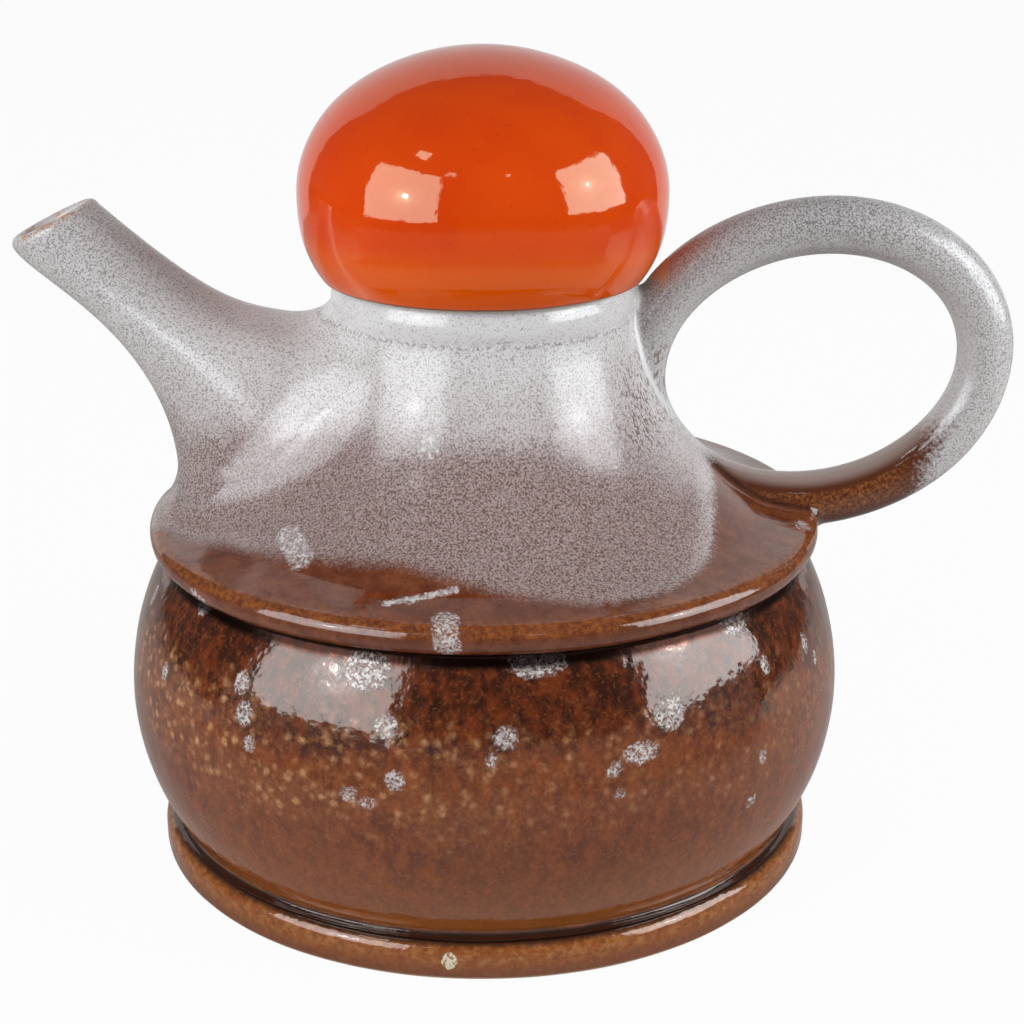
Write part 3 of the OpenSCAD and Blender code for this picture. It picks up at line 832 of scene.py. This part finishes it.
# Splashes on the collar, as azimuth, height and radius of each end, and half the width
COLLAR_SPLASHES = [
    ((-128.8, 81.2, 59.2), (-137.2, 83.6, 55.6), 2.8), ((-96.2, 77.6, 70.2), (-95.6, 74.2, 74.4), 2.9),
    ((-107.2, 78.2, 66), (-95.5, 80, 60.8), 0.75), ((-12, 77.3, 71), (-14, 77.2, 71.5), 1.6),
    ((-106.8, 101.5, 38.8), (-106.2, 103, 38.2), 2.2), ((-103, 78.6, 64.6), (-102, 79, 63.4), 1.1),
    ((-143, 73, 74.4), (-141, 72.4, 74), 1.5), ((118, 78.5, 65), (112, 78.2, 66.4), 1.2),
    ((62, 77.6, 70), (60, 76.6, 73), 2),
]


def polar(azimuth, z, r):
    """The place at an azimuth, a height and a radius."""
    turn = radians(azimuth)
    return np.array([r * cos(turn), r * sin(turn), z])


def points_of(piece):
    """The places of the piece's points in millimetres."""
    at = np.empty(len(piece.data.vertices) * 3)
    piece.data.vertices.foreach_get("co", at)
    return at.reshape(-1, 3) / MM


def put(piece, name, values):
    """A value at each point of the piece, for its material."""
    made = piece.data.attributes.new(name, "FLOAT", "POINT")
    made.data.foreach_set("value", np.broadcast_to(values, len(piece.data.vertices)).astype(np.float32))


def round_axis(at):
    """The azimuth in degrees and the radius of each point."""
    return np.degrees(np.arctan2(at[:, 1], at[:, 0])), np.hypot(at[:, 0], at[:, 1])


def splashes(at, rows):
    """How far inside the nearest splash each point lies."""
    best = np.full(len(at), -9.0)
    azimuth, r = round_axis(at)
    for middle, z, radius, wide in rows:
        across = np.radians((azimuth - middle + 180) % 360 - 180) * r / wide
        best = np.maximum(best, radius - np.hypot(across, at[:, 2] - z))
    return best


def streaks(at, rows):
    """How far inside the nearest streak each point lies, more for the thin solid ones."""
    best = np.full(len(at), -9.0)
    for first, second, radius in rows:
        a, b = polar(*first), polar(*second)
        t = np.clip((at - a) @ (b - a) / ((b - a) @ (b - a)), 0, 1)
        inside = radius - np.linalg.norm(at - a - t[:, None] * (b - a), axis=1)
        best = np.maximum(best, inside * np.where((inside > 0) & (radius < 1), 12, 1))
    return best


def rise_of(r, z):
    """How far up the surface a point lies from the shoulder's foot, less than nothing on the collar's rim."""
    over = np.maximum(0, COLLAR_TOP_Z - z) + np.maximum(0, r - COLLAR_WIDTH / 2 + COLLAR_ROUND)
    return rise_table.at(r, z) - over


def dip_of(at):
    """How far above the lower edge of the white glaze each point lies, along the surface."""
    edge = sorted((azimuth, float(rise_of(np.array(r), np.array(z)))) for azimuth, z, r in WHITE_EDGE)
    edge += [(-azimuth, rise + 2 * sin(radians(5 * azimuth))) for azimuth, rise in edge]
    edge = np.array(sorted(edge))
    azimuth, r = round_axis(at)
    return rise_of(r, at[:, 2]) - np.interp(azimuth, edge[:, 0], edge[:, 1], period=360)


def inner_side(at):
    """How far each point lies on the inner side of the handle's loop, as a share of the handle's radius."""
    gap = at[:, [0, 2]] - HANDLE_CENTRE
    long, high = gap @ handle_axes[0] / (HANDLE_LENGTH / 2), gap @ handle_axes[1] / (HANDLE_HEIGHT / 2)
    return (1 - np.hypot(long, high)) * HANDLE_HEIGHT / HANDLE_THICK


LEG_TOP_Z, LEG_END_X, LEG_START_X, ROOT_END_X = 94, 94.5, 50, 66


def handle_dip(x, z):
    """How far each point of the handle lies outside its brown lower leg."""
    outer = (x - LEG_END_X - (z - 81) * 0.31) * 0.45
    above_root = np.where(x < ROOT_END_X, (z - 87 - (x - 49.6) * 0.35) * 0.6, -9)
    return np.maximum.reduce([(z - LEG_TOP_Z) * 0.5, outer, above_root, (LEG_START_X - x) * 0.5])


# ---- Building ----
orange, brown, dipped, clay = orange_glaze(), brown_glaze(), dipped_glazes(), bare_clay()
turning = turning_tree()

SECTION_STEP, POOL_REACH = 1.6, 2.2
foot_outer, foot_inner = FOOT_WIDTH / 2, FOOT_HOLLOW / 2
foot_section = divided(
    [[foot_inner + 1, FOOT_HEIGHT], [foot_inner, FOOT_HEIGHT - 1], [foot_inner, 0.8], [foot_inner + 0.8, 0]]
    + arc([foot_outer - FOOT_EDGE_LOW, FOOT_EDGE_LOW], FOOT_EDGE_LOW, -90, 0, 15)
    + arc([foot_outer - FOOT_EDGE_HIGH, FOOT_HEIGHT - FOOT_EDGE_HIGH], FOOT_EDGE_HIGH, 0, 90, 7.5), 2)
belly_outer = [p for p in belly_line() if FOOT_HEIGHT + POOL_REACH < p[1] < BELLY_TOP_Z - POOL_REACH]
# The glaze gathers in the two grooves, over the foot and under the collar: radius, and height from the seam
low_pool = [[r, FOOT_HEIGHT + up] for r, up in ((72.9, -0.1), (72.2, 0.15), (71.6, 0.75), (71.5, 1.5))]
high_pool = [[r, BELLY_TOP_Z - down] for r, down in ((71.0, 1.7), (70.85, 1.1), (71.05, 0.5), (71.5, 0))]
belly_section = divided(
    rounded(low_pool + belly_outer + high_pool + belly_line(WALL)[::-1], 0.4), SECTION_STEP)
lid_outer = lid_line()
lid_inner = [p for p in lid_line(WALL) if p[1] > NECK_TOP_Z + LID_SEAT_THICK]
lid_outer[-1][0] = lid_inner[-1][0] = 0
ball_edge = lid_inner[0][0]
seat_inner, seat_top = FLANGE_RADIUS - FLANGE_WALL, NECK_TOP_Z + LID_SEAT_THICK
lid_section = divided(rounded(
    lid_inner[::-1] + [[ball_edge - 0.4, seat_top - 1], [FLANGE_RADIUS + 2, seat_top - 1],
                       [FLANGE_RADIUS + 2, NECK_TOP_Z + 0.15]] + lid_outer, 0.9, False), SECTION_STEP)
seat_section = divided(rounded([
    [seat_inner, NECK_TOP_Z], [FLANGE_RADIUS + 2.6, NECK_TOP_Z], [FLANGE_RADIUS + 2.6, NECK_TOP_Z + 2],
    [ball_edge + 0.6, NECK_TOP_Z + 2], [ball_edge + 0.6, seat_top],
    [seat_inner, seat_top]], 0.7), SECTION_STEP)
flange_section = divided(rounded([
    [seat_inner, NECK_TOP_Z - FLANGE_DEPTH], [FLANGE_RADIUS, NECK_TOP_Z - FLANGE_DEPTH],
    [FLANGE_RADIUS, NECK_TOP_Z + 0.5], [seat_inner, NECK_TOP_Z + 0.5]], 1.2), SECTION_STEP)

foot = turned("glazed_foot_ring", foot_section, brown, wobble=0.3, size=24, seed=1.0)
belly = turned("glazed_belly", belly_section, brown, wobble=0.5, size=26, seed=2.0)
lid = turned("glazed_lid_ball", lid_section, orange, wobble=0.3, size=30, seed=3.0)
seat = turned("clay_lid_seat_ring", seat_section, clay, sides=180, wobble=0.1, seed=4.0)
flange = turned("clay_lid_flange", flange_section, clay, sides=180, wobble=0.15, seed=5.0)

collar_reach = COLLAR_WIDTH / 2 + 2
# The two corners of the block that each piece is cut from, and the size of the cells that it is divided into
MOULDED = {
    "collar": ((-collar_reach, -collar_reach, BELLY_TOP_Z - 2),
               (collar_reach, collar_reach, COLLAR_SPLIT_Z + 10), 0.9),
    "shoulder": ((-72, -72, COLLAR_TOP_Z - 9), (72, 72, SHOULDER_TOP_Z + 9), 0.95),
    "neck_ring": ((-36, -36, SHOULDER_TOP_Z - 9), (36, 36, NECK_TOP_Z + 2), 0.7),
    "spout": ((-106, -32, COLLAR_TOP_Z - 8), (-14, 32, 152), 0.75),
    "handle": ((24, -16, 68), (121, 16, 152), 0.65),
}
# How far the glazes of two forms run into each other, and how softly the bare clay begins
BLEND, GLAZE_EDGE = 4, 0.5
NECK_REACH, HANDLE_TURN_Z = 40, 96
pot_pieces = []
for node, (low, high, cell) in MOULDED.items():
    piece = moulded("glazed_" + node, piece_of_pot(node), low, high, cell, dipped)
    at = points_of(piece)
    x, y, z = at.T
    r = np.hypot(x, y)
    bell, spout, handle = parts_of(x, y, z)
    on_handle = np.clip((bell - handle) / BLEND + 0.5, 0, 1)
    on_spout = np.clip((bell - spout) / BLEND + 0.5, 0, 1)
    dip = dip_of(at) * (1 - on_spout) + np.maximum(dip_of(at), z - COLLAR_TOP_Z - 1) * on_spout
    put(piece, "dip", dip * (1 - on_handle) + handle_dip(x, z) * on_handle)
    put(piece, "cream", streaks(at, COLLAR_SPLASHES) - 12 * on_handle)
    put(piece, "inner", inner_side(at))
    put(piece, "handled", on_handle)
    on_top = np.exp(-((x - 74) / 20) ** 2) * np.clip((z - 112) / 12, 0, 1)
    put(piece, "thin", on_handle * (0.5 + 0.5 * on_top) + on_spout * 0.6 * np.clip((-x - 50) / 35, 0, 1))
    ring = (1 - on_handle) * (1 - on_spout) * (r < NECK_REACH)
    put(piece, "band", np.clip((z - SHOULDER_TOP_Z + 1.6) / 1.8, 0, 1) * ring)
    joint = np.exp(-((bell - handle) / 0.9) ** 2) * (bell < 3)
    # More than nothing round the handle's top, for a pale painted highlight, and less than nothing round its
    # foot, for a dark line of painted shade and gathered glaze
    put(piece, "joint_highlight_and_shade", joint * np.clip((z - HANDLE_TURN_Z) / 6, -1, 1))
    hollow = np.minimum(cavity_table.at(r, z), spout_side(x, y, z, SPOUT_WALL))
    put(piece, "inside", np.clip(1.2 - hollow, 0, 1))
    beyond = (at[:, [0, 2]] - MOUTH_CENTRE) @ mouth_out
    put(piece, "lip", np.clip(1 - np.abs(beyond - SPOUT_WALL / 2) / 1.4, 0, 1) * (x < -70))
    put(piece, "bare", np.clip((z - NECK_TOP_Z + 0.9) / GLAZE_EDGE, 0, 1) * (r < NECK_REACH) * (bell > -3))
    pot_pieces.append((piece, node, "pot", "brown_glaze" if node == "collar" else "speckled_glaze"))
put(belly, "cream", splashes(points_of(belly), BELLY_SPLASHES))
put(foot, "cream", splashes(points_of(foot), FOOT_SPLASHES) * 3)

for piece, node, body, slot in (
        (foot, "foot_ring", "pot", "brown_glaze"), (belly, "belly", "pot", "brown_glaze"), *pot_pieces,
        (lid, "lid_ball", "lid", "orange_glaze"), (seat, "lid_seat_ring", "lid", "bare_clay"),
        (flange, "lid_flange", "lid", "bare_clay")):
    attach(piece, body)
    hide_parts(node)
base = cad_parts["base"]
base.data.materials.clear()
base.data.materials.append(clay)

# ---- Table, lamps and camera ----
TABLE, TABLE_PLAIN, WORLD_LIGHT = 6, 0.96, 0.12
table_mesh = bpy.data.meshes.new("table")
table_mesh.from_pydata([(-TABLE, -TABLE, 0), (TABLE, -TABLE, 0), (TABLE, TABLE, 0), (-TABLE, TABLE, 0)],
                       [], [(0, 1, 2, 3)])
table = placed("table", table_mesh)
g = Glaze("pale table")
seen = g.node("ShaderNodeLightPath", (), (), "Is Camera Ray")
diffuse = g.node("ShaderNodeBsdfDiffuse", (), {"Color": rgb(212, 209, 205)})
bright = g.node("ShaderNodeEmission", (), {"Color": WHITE, "Strength": 1.0})
g.output(g.node("ShaderNodeMixShader", (), {0: seen * TABLE_PLAIN, 1: diffuse, 2: bright}))
table_mesh.materials.append(g.material)


def card(name, points, height, radiance):
    """A pale upright card that the glazes reflect. The camera doesn't see it."""
    mesh = bpy.data.meshes.new(name)
    corners = [(x, y, z) for x, y in points for z in height]
    mesh.from_pydata(corners, [], [(i, i + 2, i + 3, i + 1) for i in range(0, len(corners) - 2, 2)])
    made = placed(name, mesh)
    made.visible_camera = False
    g = Glaze(name)
    g.output(g.node("ShaderNodeEmission", (), {"Color": WHITE, "Strength": radiance}))
    mesh.materials.append(g.material)


card("white backdrop", [(-0.6, 0.5), (0.58, 0.5)], (0, 0.84), 0.74)
FRONT_RADIUS = 0.3
front = [radians(turn) for turn in range(-80, 81, 10)]
card("front card", [(FRONT_RADIUS * sin(turn), -FRONT_RADIUS * cos(turn)) for turn in front],
     (0, 0.083), 0.36)

world = bpy.data.worlds.new("studio")
bpy.context.scene.world = world
world.use_nodes = True
node = Nodes(world.node_tree).node
for_camera = node("ShaderNodeLightPath", out="Is Camera Ray")
strength = node("ShaderNodeMix", {"data_type": "FLOAT"}, {0: for_camera, 2: WORLD_LIGHT, 3: 1.0})
back = node("ShaderNodeBackground", (), {"Color": WHITE, "Strength": strength})
node("ShaderNodeOutputWorld", (), {"Surface": back}, None)

LAMP_COLOUR = (0.95, 1.0, 1.04)


def softbox(name, azimuth, distance, height, wide, high, radiance, lean=0, shape="RECTANGLE"):
    """A flat lamp that faces the pot's axis, or so much above it. Azimuth 0 is the camera's side."""
    turn = radians(azimuth)
    lamp = bpy.data.lights.new(name, "AREA")
    lamp.shape = shape
    lamp.color = LAMP_COLOUR
    lamp.size, lamp.size_y = wide, high
    lamp.energy = radiance * pi * wide * high * (pi / 4 if shape == "DISK" else 1)
    made = placed(name, lamp)
    made.location = (distance * sin(turn), -distance * cos(turn), height)
    target = Vector((0, 0, height + lean))
    made.rotation_euler = (target - made.location).to_track_quat("-Z", "Y").to_euler()
    made.visible_camera = False


softbox("left softbox", -50, 0.50, 0.29, 0.44, 0.40, 4.7)
softbox("right softbox", 71, 0.53, 0.31, 0.43, 0.39, 5.6)
for wide, radiance in (0.2, 0.5), (0.12, 0.9), (0.075, 2), (0.03, 26):
    nearer = 0.05 - wide / 4
    softbox("left softbox core", -47, 0.50 - nearer, 0.26, wide, wide, radiance, shape="DISK")
    softbox("right softbox core", 66, 0.52 - nearer, 0.3, wide, wide, radiance, shape="DISK")
softbox("small left lamp", -22, 0.6, 0.57, 0.06, 0.035, 4, -0.4)
softbox("small right lamp", 18, 0.6, 0.57, 0.04, 0.035, 4, -0.4)
softbox("small high lamp", -49, 0.6, 0.78, 0.12, 0.08, 5, -0.5)

YAW, PITCH = radians(0.83), radians(-19.35)
lens = bpy.data.cameras.new("camera")
lens.lens, lens.sensor_width, lens.clip_start = 71.01, 36, 0.01
camera = placed("camera", lens)
camera.location = (0, -0.430, 0.22601)
camera.rotation_euler = (pi / 2 + PITCH, 0, -YAW)
bpy.context.scene.camera = camera
bpy.context.scene.view_settings.view_transform = "Standard"
